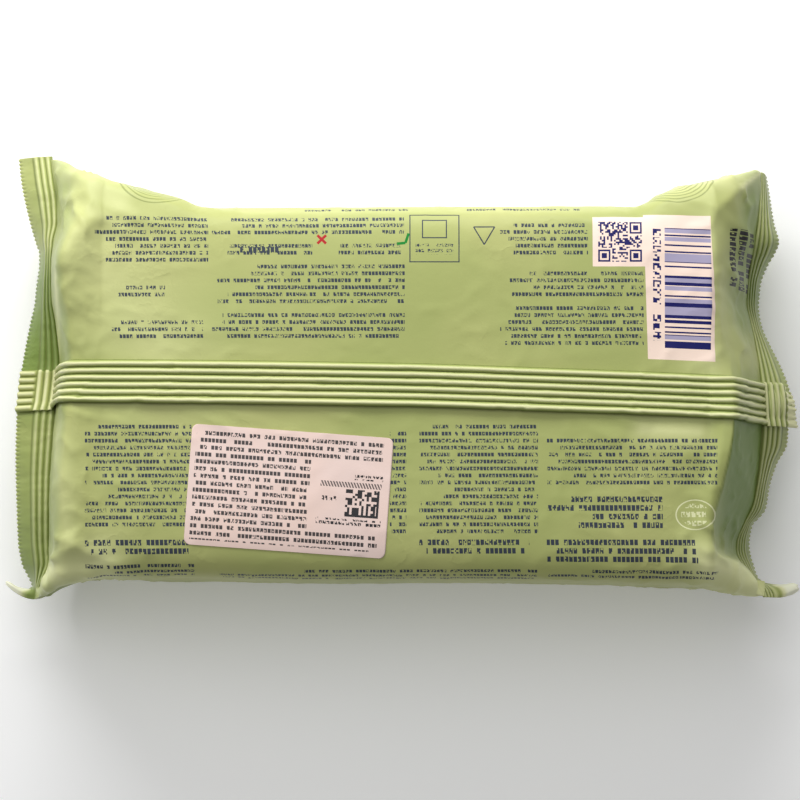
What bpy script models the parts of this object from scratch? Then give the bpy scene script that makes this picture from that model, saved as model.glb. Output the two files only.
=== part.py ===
"""A wet wipes pack: a flow-wrapped pillow pack that lies on its front, with its fin seal up.

+X runs along the pack, +Y across it and +Z up. The origin is at the centre of the
bounding box, on the surface that the pack lies on.
"""

import bmesh
import bpy
import numpy as np

MM = 0.001

# The block of wipes inside the film.
BLOCK_LEFT = -78 * MM
BLOCK_RIGHT = 82 * MM
PACK_THICKNESS = 50 * MM
EDGE_FULLNESS = 8.0  # exponent of the section: higher is squarer
END_ROUNDING = 2.2  # exponents of the fall from the block's end edge to the seal
END_FALL = 0.8
CROWN = 1.2 * MM  # how much lower the film is at the block's ends than at its middle

# The two layers of film, and how high the end seals stand.
SEAL_THICKNESS = 1.0 * MM
SEAL_HEIGHT = 26 * MM

# The long sides seen from above: points (x, y) that a smooth curve runs through.
BACK_SIDE = [(-99, 57.7), (-90.5, 56.6), (-75.4, 49.4), (-65, 47.6), (-57, 45.9), (-49, 43.1),
             (60, 43.4), (67, 46.8), (74, 49.1), (83, 51.0), (95, 53.3), (103, 53.5)]
FRONT_SIDE = [(-103, -57.7), (-93.3, -56.9), (-85.8, -54.6), (-78, -52.0), (-70, -52.3), (-34, -53.0),
              (34, -53.6), (78.5, -54.3), (86.6, -56.4), (95, -57.4), (103, -57.7)]

# The end seals' edges seen from above: points (y, x) from the front side to the back side.
LEFT_SEAL_OUTER = [(-57.7, -97.0), (-55.0, -103.1), (-51.5, -97.4), (-40, -98.6), (-25, -99.6), (-8, -99.0),
                   (3, -98.0), (16, -95.9), (32.5, -93.4), (44, -97.2), (57.7, -99.3)]
LEFT_SEAL_INNER = [(-57.7, -94.0), (-47.6, -91.5), (-27, -90.2), (-9, -88.9), (4, -88.4), (16, -89.6),
                   (34, -89.4), (44, -87.2), (57.7, -90.5)]
RIGHT_SEAL_OUTER = [(-57.7, 101.5), (-55.5, 103.1), (-52, 95.6), (-42, 91.4), (-34, 94.6), (-24, 97.2),
                    (-15, 100.6), (-11.4, 102.7), (-1, 100.1), (10, 95.7), (20, 93.7), (30, 95.7),
                    (37, 98.3), (46, 96.7), (57.7, 94.6)]
RIGHT_SEAL_INNER = [(-57.7, 92.0), (-42, 87.5), (-20, 90.5), (-8, 92.0), (10, 91.0), (20, 89.5),
                    (37, 91.0), (57.7, 89.5)]

# How far the seals' outer edges rise and fall: points (y, z).
LEFT_SEAL_WAVE = [(-57.7, -3.0), (-35, 0.0), (-5, 1.5), (15, -2.5), (33, -6.0), (57.7, 1.0)]
RIGHT_SEAL_WAVE = [(-57.7, -2.0), (-42, -7.0), (-12, 2.0), (20, -6.0), (38, 1.0), (57.7, -2.0)]

# The fin seal, a folded band along the back: points (x, y) of its centre line.
FIN_LINE = [(-103, -1.5), (-88, -2.1), (0, -3.1), (34, -4.2), (92, -6.8), (103, -8.0)]
FIN_WIDTH = 11 * MM
FIN_HEIGHT = 1.2 * MM
FIN_SINK = 0.8 * MM  # how deep the band reaches into the body that it is joined to
FIN_END_GAP = 1.5 * MM  # how far it stops short of the seals' outer edges

# The printed paper sticker on the back.
STICKER_LENGTH = 51.9 * MM
STICKER_WIDTH = 30.8 * MM
STICKER_CENTRE = (-28.4 * MM, -30.2 * MM)
STICKER_TURN_DEG = -4.2

# The reseal label on the front, which is the face that the pack lies on.
LABEL_LENGTH = 118 * MM
LABEL_WIDTH = 62 * MM
LABEL_CORNER = 12 * MM
LABEL_TAB_LENGTH = 12 * MM
LABEL_TAB_WIDTH = 26 * MM

SHEET_THICKNESS = 0.3 * MM
GAP = 0.3 * MM

# How finely the shapes are cut.
SIDE_STEPS = 15
BODY_STEPS = 18
SHOULDER_STEPS = 6
SEAL_STEPS = 3
FIN_STEPS = 44
STICKER_STEPS = (14, 8)
ARC_STEPS = 6

FILM_BOTTOM = SHEET_THICKNESS + GAP
BODY_CENTRE = FILM_BOTTOM + PACK_THICKNESS / 2


def clear_scene():
    for obj in list(bpy.data.objects):
        bpy.data.objects.remove(obj, do_unlink=True)


def collection(name):
    made = bpy.data.collections.new(name)
    bpy.context.scene.collection.children.link(made)
    return made


def material(name, colour, roughness):
    made = bpy.data.materials.new(name)
    made.use_nodes = True
    shader = made.node_tree.nodes["Principled BSDF"]
    shader.inputs["Base Color"].default_value = (*colour, 1)
    shader.inputs["Roughness"].default_value = roughness
    shader.inputs["Metallic"].default_value = 0
    made.diffuse_color = (*colour, 1)
    return made


def smooth_through(points_mm):
    """A function that runs smoothly through (a, b) points given in millimetres, with no overshoot."""
    known, values = np.array(sorted(points_mm), float).T * MM
    steepness = np.diff(values) / np.diff(known)
    before, after = steepness[:-1], steepness[1:]
    turning = before * after <= 0
    total = np.where(turning, 1, before + after)
    inner = np.where(turning, 0, 2 * before * after / total)
    slopes = np.concatenate([steepness[:1], inner, steepness[-1:]])

    def at(a):
        a = np.clip(a, known[0], known[-1])
        i = np.clip(np.searchsorted(known, a) - 1, 0, len(known) - 2)
        span = known[i + 1] - known[i]
        t = (a - known[i]) / span
        start = (1 + 2 * t) * (1 - t) ** 2 * values[i] + t * (1 - t) ** 2 * span * slopes[i]
        end = t * t * (3 - 2 * t) * values[i + 1] + t * t * (t - 1) * span * slopes[i + 1]
        return start + end

    return at


back_side = smooth_through(BACK_SIDE)
front_side = smooth_through(FRONT_SIDE)
fin_line = smooth_through(FIN_LINE)
SEALS = {
    -1: (smooth_through(LEFT_SEAL_INNER), smooth_through(LEFT_SEAL_OUTER), smooth_through(LEFT_SEAL_WAVE)),
    1: (smooth_through(RIGHT_SEAL_INNER), smooth_through(RIGHT_SEAL_OUTER), smooth_through(RIGHT_SEAL_WAVE)),
}


def across(x):
    """The lateral places of a section at x: the middle, the half width, and fractions from 1 to -1."""
    middle = (back_side(x) + front_side(x)) / 2
    half = (back_side(x) - front_side(x)) / 2
    return middle, half, np.sin(np.linspace(np.pi / 2, -np.pi / 2, 2 * SIDE_STEPS + 1))


def fullness(fraction):
    """How much of the section's half height is left at this fraction of its half width."""
    return np.maximum(0, 1 - np.abs(fraction) ** EDGE_FULLNESS) ** (1 / EDGE_FULLNESS)


def body_half_height(x):
    middle = (BLOCK_LEFT + BLOCK_RIGHT) / 2
    reach = (x - middle) / (BLOCK_RIGHT - middle)
    return PACK_THICKNESS / 2 - CROWN / 2 * reach**2


def ring(x, y, centre, upper, lower):
    """One closed section: over the back from +Y to -Y, then under the front and home."""
    over = np.column_stack([x, y, centre + upper])
    under = np.column_stack([x, y, centre - lower])
    return np.vstack([over, under[-2:0:-1]])


def body_ring(x):
    middle, half, fractions = across(x)
    height = body_half_height(x) * fullness(fractions)
    centre = FILM_BOTTOM + body_half_height(x)
    return ring(np.full_like(fractions, x), middle + half * fractions, centre, height, height)


def shoulder_ring(end, t):
    """A section a share t of the way from the block's end to the end seal."""
    inner, _, _ = SEALS[end]
    block_end = BLOCK_RIGHT if end > 0 else BLOCK_LEFT
    plan_x = block_end + (inner(0.0) - block_end) * t
    middle, half, fractions = across(plan_x)
    y = middle + half * fractions
    x = block_end + (inner(y) - block_end) * t
    fall = (1 - t**END_ROUNDING) ** END_FALL
    thick = body_half_height(block_end) * fall + SEAL_THICKNESS / 2 * (1 - fall)
    centre = (FILM_BOTTOM + body_half_height(block_end)) * (1 - t) + SEAL_HEIGHT * t
    height = thick * fullness(fractions)
    return ring(x, y, centre, height, height)


def seal_ring(end, t):
    """A section a share t of the way across the end seal."""
    inner, outer, wave = SEALS[end]
    middle, half, fractions = across(inner(0.0) + (outer(0.0) - inner(0.0)) * t)
    y = middle + half * fractions
    x = inner(y) + (outer(y) - inner(y)) * t
    height = SEAL_THICKNESS / 2 * fullness(fractions)
    return ring(x, y, SEAL_HEIGHT + wave(y) * t, height, height)


def pack_rings():
    rings = [seal_ring(-1, t) for t in np.linspace(1, 0, SEAL_STEPS + 1)]
    rings += [shoulder_ring(-1, t) for t in np.linspace(1, 0, SHOULDER_STEPS + 1)[1:-1]]
    rings += [body_ring(x) for x in np.linspace(BLOCK_LEFT, BLOCK_RIGHT, BODY_STEPS + 1)]
    rings += [shoulder_ring(1, t) for t in np.linspace(0, 1, SHOULDER_STEPS + 1)[1:-1]]
    rings += [seal_ring(1, t) for t in np.linspace(0, 1, SEAL_STEPS + 1)]
    return rings


def loft(name, rings, into):
    """A closed solid through rings that have the same number of points."""
    mesh = bmesh.new()
    rows = [[mesh.verts.new(point) for point in points] for points in rings]
    count = len(rows[0])
    for one, two in zip(rows, rows[1:]):
        for i in range(count):
            j = (i + 1) % count
            mesh.faces.new((one[i], one[j], two[j], two[i]))
    cap(mesh, rows[0])
    cap(mesh, rows[-1])
    bmesh.ops.recalc_face_normals(mesh, faces=mesh.faces)
    return finished(name, mesh, into)


def cap(mesh, row):
    """Closes an end with a ladder of quads between its upper and lower edges."""
    count = len(row)
    half = count // 2
    mesh.faces.new((row[0], row[1], row[count - 1]))
    for i in range(1, half - 1):
        mesh.faces.new((row[i], row[i + 1], row[count - i - 1], row[count - i]))
    mesh.faces.new((row[half - 1], row[half], row[half + 1]))


def finished(name, mesh, into):
    data = bpy.data.meshes.new(name)
    mesh.to_mesh(data)
    mesh.free()
    obj = bpy.data.objects.new(name, data)
    into.objects.link(obj)
    return obj


def surface_height(x, y):
    """The height of the back's film at a place on the block."""
    middle, half, _ = across(x)
    rise = body_half_height(x)
    return FILM_BOTTOM + rise * (1 + fullness((y - middle) / half))


def top_centre_line(rings):
    """Places along the crest under the fin seal, read off the pack's own sections."""
    places = []
    for points in rings:
        over = points[: 2 * SIDE_STEPS + 1]
        y = fin_line(over[SIDE_STEPS, 0])
        order = np.argsort(over[:, 1])
        x = np.interp(y, over[order, 1], over[order, 0])
        z = np.interp(y, over[order, 1], over[order, 2])
        places.append((x, y, z))
    return np.array(places)


def fin_rings(rings):
    line = top_centre_line(rings)
    stations = np.linspace(line[0, 0] + FIN_END_GAP, line[-1, 0] - FIN_END_GAP, FIN_STEPS)
    made = []
    for x in stations:
        z = np.interp(x, line[:, 0], line[:, 2])
        y = fin_line(x)
        low, high = z - FIN_SINK, z + FIN_HEIGHT
        left, right = y + FIN_WIDTH / 2, y - FIN_WIDTH / 2
        made.append([(x, left, low), (x, left, high), (x, right, high), (x, right, low)])
    return made


def strip(name, rings, into):
    """A closed bar with a four-sided section."""
    mesh = bmesh.new()
    rows = [[mesh.verts.new(point) for point in points] for points in rings]
    for one, two in zip(rows, rows[1:]):
        for i in range(4):
            j = (i + 1) % 4
            mesh.faces.new((one[i], one[j], two[j], two[i]))
    mesh.faces.new(rows[0])
    mesh.faces.new(rows[-1])
    bmesh.ops.recalc_face_normals(mesh, faces=mesh.faces)
    return finished(name, mesh, into)


def make_pack(into, helpers):
    rings = pack_rings()
    pack = loft("sealed_pack", rings, into)
    fin = strip("fin_seal_band", fin_rings(rings), helpers)
    fin.hide_render = True
    fin.display_type = "WIRE"
    joined = pack.modifiers.new("fin_seal", "BOOLEAN")
    joined.operation = "UNION"
    joined.object = fin
    pack.data.materials.append(material("green_film", (0.42, 0.45, 0.2), 0.35))
    pack.data.shade_smooth()
    pack.data.set_sharp_from_angle(angle=np.radians(50))
    return pack


def make_sticker(into):
    """A sheet laid on the back's film, turned a little, and as thick as a label."""
    mesh = bmesh.new()
    bmesh.ops.create_grid(mesh, x_segments=STICKER_STEPS[0], y_segments=STICKER_STEPS[1], size=0.5)
    turn = np.radians(STICKER_TURN_DEG)
    for vert in mesh.verts:
        along = vert.co.x * STICKER_LENGTH
        over = vert.co.y * STICKER_WIDTH
        x = STICKER_CENTRE[0] + along * np.cos(turn) - over * np.sin(turn)
        y = STICKER_CENTRE[1] + along * np.sin(turn) + over * np.cos(turn)
        vert.co = (x, y, surface_height(x, y) + GAP)
    sticker = finished("paper_sticker", mesh, into)
    thick = sticker.modifiers.new("thickness", "SOLIDIFY")
    thick.thickness = SHEET_THICKNESS
    thick.offset = 1
    sticker.data.materials.append(material("sticker_paper", (0.85, 0.7, 0.62), 0.5))
    return sticker


def arc(centre, radius, start_deg):
    angles = np.radians(np.linspace(start_deg, start_deg + 90, ARC_STEPS + 1))
    return [(centre[0] + radius * np.cos(a), centre[1] + radius * np.sin(a)) for a in angles]


def label_outline():
    """A rounded rectangle with a rounded pull tab on its right end."""
    across_corner = LABEL_LENGTH / 2 - LABEL_CORNER
    up_corner = LABEL_WIDTH / 2 - LABEL_CORNER
    tab_end = LABEL_LENGTH / 2 + LABEL_TAB_LENGTH
    tab_side = LABEL_TAB_WIDTH / 2
    tab_round = LABEL_TAB_LENGTH * 0.75
    outline = arc((-across_corner, -up_corner), LABEL_CORNER, 180)
    outline += arc((across_corner, -up_corner), LABEL_CORNER, 270)
    outline += [(LABEL_LENGTH / 2, -tab_side)]
    outline += arc((tab_end - tab_round, -tab_side + tab_round), tab_round, 270)
    outline += arc((tab_end - tab_round, tab_side - tab_round), tab_round, 0)
    outline += [(LABEL_LENGTH / 2, tab_side)]
    outline += arc((across_corner, up_corner), LABEL_CORNER, 0)
    outline += arc((-across_corner, up_corner), LABEL_CORNER, 90)
    return outline


def make_label(into):
    mesh = bmesh.new()
    face = mesh.faces.new([mesh.verts.new((x, y, 0)) for x, y in label_outline()])
    raised = bmesh.ops.extrude_face_region(mesh, geom=[face])
    for vert in raised["geom"]:
        if isinstance(vert, bmesh.types.BMVert):
            vert.co.z += SHEET_THICKNESS
    bmesh.ops.recalc_face_normals(mesh, faces=mesh.faces)
    label = finished("reseal_label", mesh, into)
    label.data.materials.append(material("label_film", (0.8, 0.83, 0.72), 0.3))
    return label


def main():
    clear_scene()
    parts = collection("wet_wipes_pack")
    helpers = collection("joined_shapes")
    make_pack(parts, helpers)
    make_sticker(parts)
    make_label(parts)


main()
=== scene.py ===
"""The looks of a wet wipes pack: printed film, crimped seals, a fin seal and two stuck-on labels."""

import bmesh
import bpy
import numpy as np
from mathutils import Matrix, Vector, noise
from mathutils.bvhtree import BVHTree


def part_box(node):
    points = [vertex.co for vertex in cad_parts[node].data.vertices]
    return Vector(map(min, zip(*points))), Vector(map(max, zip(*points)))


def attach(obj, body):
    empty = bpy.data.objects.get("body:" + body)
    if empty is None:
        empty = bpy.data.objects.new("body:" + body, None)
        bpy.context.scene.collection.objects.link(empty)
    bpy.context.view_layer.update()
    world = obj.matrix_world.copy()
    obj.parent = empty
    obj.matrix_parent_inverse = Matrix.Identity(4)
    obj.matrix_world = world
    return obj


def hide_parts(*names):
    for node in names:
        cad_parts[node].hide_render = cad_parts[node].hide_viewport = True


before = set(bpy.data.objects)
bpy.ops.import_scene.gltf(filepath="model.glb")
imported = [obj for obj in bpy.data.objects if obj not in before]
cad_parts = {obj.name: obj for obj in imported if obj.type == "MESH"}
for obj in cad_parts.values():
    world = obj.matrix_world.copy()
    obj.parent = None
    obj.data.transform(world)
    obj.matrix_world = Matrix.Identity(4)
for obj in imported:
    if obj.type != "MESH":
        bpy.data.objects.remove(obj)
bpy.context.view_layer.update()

MM = 0.001

# Plan of the pack, in millimetres: the long sides as (x, y), the seals' edges as (y, x).
BACK_SIDE = [(-99, 57.7), (-90.5, 56.6), (-82, 52.4), (-75.4, 49.4), (-65, 47.6), (-57, 45.9),
             (-51, 43.6), (-45, 43.1), (60, 43.4), (63, 44.4), (67, 46.8), (74, 49.1), (83, 51.0),
             (95, 53.3), (103, 53.5)]
FRONT_SIDE = [(-103, -57.0), (-94.6, -56.8), (-88.4, -54.1), (-83.2, -52.4), (-78, -51.4), (-70, -51.7),
              (-34, -52.5), (34, -53.1), (78, -53.7), (83.2, -54.4), (89.7, -55.7), (95, -56.4),
              (103, -56.7)]
LEFT_OUTER = [(-57.7, -95.6), (-56, -95.4), (-53.3, -95.9), (-50.7, -97.0), (-48.1, -98.2),
              (-45.5, -98.7), (-42.9, -99.1), (-32.5, -99.4), (-22, -99.6), (-6.5, -99.2), (-1.3, -98.8),
              (3.9, -98.0), (9.1, -97.1), (14.3, -96.1), (19.5, -94.9), (24.7, -94.3), (29.9, -93.6),
              (32.5, -93.6), (35.1, -94.4), (40.3, -95.9), (45.5, -97.2), (50.7, -98.3), (57.7, -99.3)]
LEFT_INNER = [(-57.7, -94.4), (-53.3, -93.3), (-50.7, -91.9), (-47.6, -90.6), (-42.9, -90.7),
              (-27.3, -90.5), (-22.1, -90.2), (-11.7, -89.4), (4, -88.0), (9.1, -88.4), (14.3, -89.0),
              (20, -89.9), (30, -90.0), (35.1, -89.6), (40.3, -88.5), (45.5, -88.7), (50.7, -89.5),
              (57.7, -90.6)]
RIGHT_OUTER = [(-57.7, 98.2), (-56.5, 98.8), (-55.2, 98.4), (-53.8, 96.7), (-52.8, 94.4), (-50.7, 92.8),
               (-48.1, 92.0), (-45.5, 91.3), (-42.9, 91.0), (-37.7, 91.8), (-35.1, 94.1), (-33.4, 95.2),
               (-27.3, 96.2), (-22.1, 97.8), (-16.9, 100.4), (-12.2, 100.8), (-6.5, 101.6),
               (-1.3, 100.6), (3.9, 98.8), (9.1, 96.5), (14.3, 94.4), (19.5, 93.6), (24.7, 93.9),
               (29.9, 95.7), (32.5, 97.2), (35.6, 98.3), (40.3, 97.2), (50.7, 95.9), (57.7, 94.9)]
RIGHT_INNER = [(-57.7, 94.4), (-54, 93.2), (-52, 91.3), (-48.1, 88.4), (-44.5, 87.0), (-42, 87.2),
               (-37.7, 89.0), (-32.5, 91.4), (-27.3, 92.4), (-20, 93.2), (-12, 93.6), (-1.3, 93.2),
               (9.1, 92.0), (14.3, 91.0), (20, 89.8), (24.7, 90.0), (35, 91.4), (40.3, 92.4),
               (50.7, 93.4), (57.7, 94.0)]
# The plain outer edge of each seal is pulled out and curls up at its foot: points (y, how far).
LEFT_FLAP = [(-57.0, 7.2), (-56.1, 7.0), (-55.1, 4.2), (-54.3, 1.0), (-53.3, 0), (57.7, 0)]
RIGHT_FLAP = [(-56.9, 3.4), (-55.8, 4.8), (-54.6, 4.6), (-53.6, 2.0), (-52.6, 0.3), (-51.6, 0), (57.7, 0)]
# The middle of the fin seal: points (x, y).
FIN_LINE = [(-103, -4.0), (-93, -3.3), (-84, -2.1), (0, -3.1), (34, -4.2), (78, -5.9), (88, -6.5),
            (103, -7.3)]
# How high the end seals run: points (y, z).
LEFT_HEIGHT = [(-57.7, 19), (-46, 23.5), (-30, 27), (-12, 27.5), (0, 24.5), (33, 32), (46, 29), (57.7, 24)]
RIGHT_HEIGHT = [(-57.7, 25), (-50, 24), (-43, 21), (-14, 29), (-8, 29.5), (17, 22), (37, 31), (57.7, 24)]

# Where the stack of wipes ends at the left, -1, and at the right, 1.
BLOCK = {-1: -76 * MM, 1: 79 * MM}
THICKNESS = 50 * MM
SECTION_FULLNESS = 8.0
CROWN = 1.2 * MM
SEAL_WIDTH = 11.2 * MM
SEAL_HALF = 0.28 * MM
# A pulled-out flap rises by this share of its pull, and bends towards +Y by this many times its pull squared.
FLAP_CURL = 0.8
FLAP_BEND = 75.0
GUSSET_DEPTH = 5 * MM
GUSSET_TOP = 0.8
EAR_Y = 57 * MM
EAR_WIDENING = 0.022
# The right end falls as a flat panel on its lower side, which starts this share of the way out.
PANEL_START = 0.42
SHOULDER_POWER = 0.85

RING_POINTS = 168
BODY_RINGS = 170
SHOULDER_RINGS = 46
SEAL_ROWS = 44
FIN_SEAL_ROWS = 36
SEAL_COLUMNS = 660
FIN_WIDTH = 11 * MM
FIN_COLUMNS = 61
FIN_RIDGES = 6
FIN_RIDGE_HEIGHT = 0.85 * MM


def smooth_through(points_mm):
    """A function that runs smoothly through (a, b) points given in millimetres, with no overshoot."""
    known, values = np.array(sorted(points_mm), float).T * MM
    steepness = np.diff(values) / np.diff(known)
    before, after = steepness[:-1], steepness[1:]
    turning = before * after <= 0
    total = np.where(turning, 1, before + after)
    inner = np.where(turning, 0, 2 * before * after / total)
    slopes = np.concatenate([steepness[:1], inner, steepness[-1:]])

    def at(a):
        a = np.clip(a, known[0], known[-1])
        i = np.clip(np.searchsorted(known, a) - 1, 0, len(known) - 2)
        span = known[i + 1] - known[i]
        t = (a - known[i]) / span
        start = (1 + 2 * t) * (1 - t) ** 2 * values[i] + t * (1 - t) ** 2 * span * slopes[i]
        end = t * t * (3 - 2 * t) * values[i + 1] + t * t * (t - 1) * span * slopes[i + 1]
        return start + end

    return at


back_side = smooth_through(BACK_SIDE)
front_side = smooth_through(FRONT_SIDE)
fin_line = smooth_through(FIN_LINE)
HEIGHTS = {-1: smooth_through(LEFT_HEIGHT), 1: smooth_through(RIGHT_HEIGHT)}
EDGES = {-1: (smooth_through(LEFT_INNER), smooth_through(LEFT_OUTER)),
         1: (smooth_through(RIGHT_INNER), smooth_through(RIGHT_OUTER))}
FLAPS = {-1: smooth_through(LEFT_FLAP), 1: smooth_through(RIGHT_FLAP)}
FILM_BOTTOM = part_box("sealed_pack")[0][2]


def smoothstep(low, high, value):
    t = np.clip((value - low) / (high - low), 0, 1)
    return t * t * (3 - 2 * t)


def ridged(x, y, z, octaves=2):
    """Noise from 0 to 1 with sharp crests, as creases in film have."""
    total, size, scale = 0.0, 0.6, 1.0
    for _ in range(octaves):
        total += size * (1 - abs(noise.noise(Vector((x * scale, y * scale, z * scale)))) * 2)
        size, scale = size * 0.5, scale * 2.1
    return total


def sharp(value, power):
    """Narrows the crests of noise and leaves flats between them."""
    return max(value, 0.0) ** power


# ---------------------------------------------------------------- the film's surface

def half_height(x):
    middle = (BLOCK[-1] + BLOCK[1]) / 2
    reach = (x - middle) / (BLOCK[1] - middle)
    return THICKNESS / 2 - CROWN / 2 * reach**2


def section(count):
    """Evenly spaced fractions (across, up) of a rounded section, from its +Y side over the top to -Y."""
    turn = np.linspace(0, np.pi, 4001)
    across = np.sign(np.cos(turn)) * np.abs(np.cos(turn)) ** (2 / SECTION_FULLNESS)
    up = np.sin(turn) ** (2 / SECTION_FULLNESS)
    # A mid-body section is about twice as wide as it is thick.
    length = np.concatenate([[0], np.cumsum(np.hypot(np.diff(across) * 2, np.diff(up)))])
    even = np.linspace(0, length[-1], count)
    return np.interp(even, length, across), np.interp(even, length, up)


ACROSS, UP = section(RING_POINTS)


def closed_ring(x, y, centre, rise, drop):
    over = np.column_stack([x, y, centre + rise])
    under = np.column_stack([x, y, centre - drop])
    return np.vstack([over, under[-2:0:-1]])


def body_ring(x):
    middle, half = (back_side(x) + front_side(x)) / 2, (back_side(x) - front_side(x)) / 2
    height = half_height(x) * UP
    centre = FILM_BOTTOM + half_height(x)
    return closed_ring(np.full_like(ACROSS, x), middle + half * ACROSS, centre, height, height)


def shoulder_ring(end, t):
    """A section a share t of the way from the block to the end seal, its sides tucked in as a gusset."""
    inner, _ = EDGES[end]
    block_end = BLOCK[end]
    back = back_side(block_end + (inner(EAR_Y) - block_end) * t)
    front = front_side(block_end + (inner(-EAR_Y) - block_end) * t)
    middle, half = (back + front) / 2, (back - front) / 2 * (1 + EAR_WIDENING * t * t)
    y = middle + half * ACROSS
    x = block_end + (inner(y) - block_end) * t
    # The film falls evenly towards the ears. Elsewhere it stays on the block, most of all at the left end.
    if end < 0:
        squareness = 2.0 + 5.0 * smoothstep(44 * MM, 26 * MM, y)
    else:
        squareness = 1.5 + 1.7 * smoothstep(20 * MM, -30 * MM, y)
    fall = (1 - t**squareness) ** SHOULDER_POWER
    if end > 0:
        starts = PANEL_START * smoothstep(-46 * MM, -12 * MM, y)
        panel = np.clip((1 - t) / (1 - starts), 0, 1)
        fall = fall + (panel - fall) * smoothstep(8 * MM, -14 * MM, y)
    thick = half_height(block_end) * fall + SEAL_HALF * (1 - fall)
    centre = (FILM_BOTTOM + half_height(block_end)) * (1 - t) + HEIGHTS[end](y) * t
    tuck = GUSSET_DEPTH * smoothstep(0, 1, t) * np.clip(1 - UP / GUSSET_TOP, 0, 1)
    y = y - np.sign(ACROSS) * tuck
    return closed_ring(x, y, centre, thick * UP, thick * UP)


def seal_point(end, t, y):
    """Places on an end seal's middle sheet, a share t of the way out. It dips where the plan is narrow."""
    inner, outer = EDGES[end]
    reach = outer(y) - inner(y)
    dip = np.sqrt(np.maximum(SEAL_WIDTH**2 - reach**2, 0))
    pulled = FLAPS[end](y) * smoothstep(0.6, 1.0, t)
    height = HEIGHTS[end](y) - dip * t * (0.35 + 0.65 * t) + FLAP_CURL * pulled
    return np.stack([inner(y) + reach * t + end * pulled, y + FLAP_BEND * pulled**2, height], axis=-1)


def film_rings():
    # The rings lie closer together where the film turns down.
    shares = 1 - np.linspace(1, 0, SHOULDER_RINGS) ** 1.5
    rings = [shoulder_ring(-1, t) for t in shares[:0:-1]]
    rings += [body_ring(x) for x in np.linspace(BLOCK[-1], BLOCK[1], BODY_RINGS)]
    rings += [shoulder_ring(1, t) for t in shares[1:]]
    return np.array(rings)


def grid_normals(points):
    along = np.gradient(points, axis=0)
    around = (np.roll(points, -1, axis=1) - np.roll(points, 1, axis=1)) / 2
    normal = np.cross(around, along)
    normal /= np.maximum(np.linalg.norm(normal, axis=2, keepdims=True), 1e-12)
    outward = points - points.mean(axis=1, keepdims=True)
    return normal * np.sign((normal * outward).sum(axis=2).mean())


# Long soft creases on the back: (x, y) of both ends in millimetres, width and height.
BACK_CREASES = [
    ((-52, -10), (-40, -16), 1.6, 0.35), ((-47, -9), (-33, -13), 1.2, 0.25),
    ((47, -13), (60, -20), 1.6, 0.3), ((52, -11), (70, -15), 1.3, 0.25),
    ((-80, 44), (-62, 38), 2.0, 0.5), ((-76, 48), (-56, 43), 1.4, 0.5), ((-84, 38), (-70, 41), 1.5, 0.4),
    ((80, 42), (92, 34), 1.8, 0.5), ((70, 46), (84, 41), 1.6, 0.5), ((84, 46), (92, 28), 1.6, 0.45),
    ((78, -46.5), (94, -55.5), 3.2, 2.8), ((72, -46), (84, -52), 1.4, 0.6),
    ((76, -44), (86, -50), 1.2, 0.6), ((62, -17), (80, -21), 8.0, 0.9),
    ((-80, -16), (-58, -12), 7.0, 0.6), ((-84, -44), (-64, -52), 2.2, 0.8),
    ((40, -17), (52, -27), 1.3, 0.3), ((-20, -10), (-8, -13), 1.4, 0.2), ((72, 20), (84, 16), 1.4, 0.35),
    ((82, 30), (90, 20), 1.5, 0.6), ((-82, 50), (-66, 46), 1.2, 0.7),
    ((-88, -50), (-70, -46), 1.4, -0.6), ((-86, -40), (-78, -48), 1.6, 0.5),
    ((-60, 10), (-30, 12), 3.0, 0.15), ((20, 2), (60, 6), 3.0, 0.15), ((85, 14), (90, 0), 1.6, 0.5),
    ((-87, 22), (-78, 16), 1.8, 0.4), ((-87, -22), (-79, -18), 1.8, 0.35),
    ((84, -20), (90, -28), 1.5, 0.5), ((93, 54), (79, 40), 2.6, 1.5), ((80, 42), (82, 8), 2.2, 0.5),
    ((84, -8), (76, -46), 2.0, 0.7), ((83.6, -15), (77.6, -43), 1.6, 0.5),
    ((-91, -50), (-80, -41), 1.6, 0.9), ((-90, -54), (-74, -50), 2.0, 0.9),
    ((-89, 55), (-84, 36), 2.2, 1.3), ((-88, 53), (-70, 45), 1.8, 0.9), ((-84, 36), (-88, 24), 2.0, 0.7),
    ((-90, 55), (-86.6, 40), 1.3, -1.1), ((-86.6, 41), (-89, 30), 1.1, -0.7),
    ((-80, 47), (-74, 36), 1.4, 0.5), ((-76, 40), (-66, 33), 1.3, 0.4), ((-84, 44), (-78, 33), 1.2, 0.5),
]
CREASE_SHARPNESS = 1.35
# Painted light: where the film's green is painted paler, on faces and crease crests that would lie in shade:
# (x, y) of both ends and the width in millimetres, and how much.
PAINTED_LIGHT = [
    ((78, -48.5), (96, -56), 4.5, 1.0), ((76, -46), (82, -50), 3.0, 0.6), ((-91, -51), (-76, -48), 5.0, 0.8),
    ((-90, 55), (-72, 44), 4.5, 0.4), ((-84, 46), (-74, 38), 4.0, 0.3), ((62, -14.5), (76, -15), 2.4, 0.6),
    ((70, 48), (92, 53), 4.0, 0.5), ((94, 54), (87, 48), 0.9, 0.9), ((-88, 26), (-88, 6), 0.8, 0.5),
    ((-40, 41.5), (58, 41.8), 1.2, 0.2), ((-88, -14), (-84, -46), 3.0, 0.35),
    ((79, 36), (79, 2), 6.0, 0.4), ((-80, 32), (-60, 4), 14.0, 0.3),
]
PAINTED_LIGHT_ABOVE = 12 * MM
# How high the film's wrinkles are, in millimetres: pleats beside the seals, crinkles, and broad swells.
PLEAT_HEIGHT, SWELL_HEIGHT = 1.0, 0.65
CRINKLE_HEIGHT, CRINKLE_AT_EARS, CRINKLE_AT_ENDS = 0.26, 1.3, 0.6


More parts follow.
